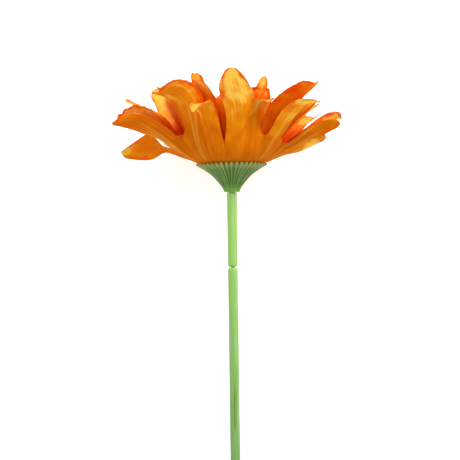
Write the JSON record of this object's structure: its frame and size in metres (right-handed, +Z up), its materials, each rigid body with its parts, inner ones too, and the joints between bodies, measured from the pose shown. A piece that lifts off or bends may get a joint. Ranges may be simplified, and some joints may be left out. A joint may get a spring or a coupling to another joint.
{
  "type": "artificial cut gerbera",
  "caption": "Cut artificial gerbera lying on its side: whorls of dyed cloth petals in a ribbed plastic calyx, with a fringed centre, on a notched plastic stem.",
  "frame": {"origin": "centre of the bounding box at the surface that the flower lies on", "axes": "+Y along the stem towards the flower head, +Z up from the surface, +X to the right when looking along the stem from its cut end towards the head"},
  "size_m": [0.1056, 0.3594, 0.0854],
  "materials": {
    "petal_cloth": "dyed satin-weave polyester, orange with redder edges, soft sheen",
    "fringe_cloth": "cut polyester fringe, matte golden",
    "button_plush": "flocked plush, matte dark brown",
    "calyx_plastic": "moulded polyethylene, ribbed, satin green, slightly translucent",
    "peg_plastic": "moulded polyethylene, plain green",
    "stem_plastic": "extruded polyethylene, light green, satin, with fine lengthwise lines",
    "wire_steel": "bare drawn wire"
  },
  "bodies": {
    "root": {"calyx": "calyx_plastic", "centre_button": "button_plush", "centre_peg": "peg_plastic", "fringe_inner": "fringe_cloth", "fringe_outer": "fringe_cloth", "petal_inner_1": "petal_cloth", "petal_inner_2": "petal_cloth", "petal_inner_3": "petal_cloth", "petal_inner_4": "petal_cloth", "petal_inner_5": "petal_cloth", "petal_inner_6": "petal_cloth", "petal_inner_7": "petal_cloth", "petal_inner_8": "petal_cloth", "petal_outer_1": "petal_cloth", "petal_outer_10": "petal_cloth", "petal_outer_11": "petal_cloth", "petal_outer_12": "petal_cloth", "petal_outer_13": "petal_cloth", "petal_outer_14": "petal_cloth", "petal_outer_2": "petal_cloth", "petal_outer_3": "petal_cloth", "petal_outer_4": "petal_cloth", "petal_outer_5": "petal_cloth", "petal_outer_6": "petal_cloth", "petal_outer_7": "petal_cloth", "petal_outer_8": "petal_cloth", "petal_outer_9": "petal_cloth", "petal_second_1": "petal_cloth", "petal_second_10": "petal_cloth", "petal_second_11": "petal_cloth", "petal_second_12": "petal_cloth", "petal_second_13": "petal_cloth", "petal_second_14": "petal_cloth", "petal_second_15": "petal_cloth", "petal_second_2": "petal_cloth", "petal_second_3": "petal_cloth", "petal_second_4": "petal_cloth", "petal_second_5": "petal_cloth", "petal_second_6": "petal_cloth", "petal_second_7": "petal_cloth", "petal_second_8": "petal_cloth", "petal_second_9": "petal_cloth", "petal_third_1": "petal_cloth", "petal_third_10": "petal_cloth", "petal_third_2": "petal_cloth", "petal_third_3": "petal_cloth", "petal_third_4": "petal_cloth", "petal_third_5": "petal_cloth", "petal_third_6": "petal_cloth", "petal_third_7": "petal_cloth", "petal_third_8": "petal_cloth", "petal_third_9": "petal_cloth", "stem_main": "stem_plastic", "stem_neck": "stem_plastic", "stem_wire": "wire_steel"}
  },
  "joints": []
}
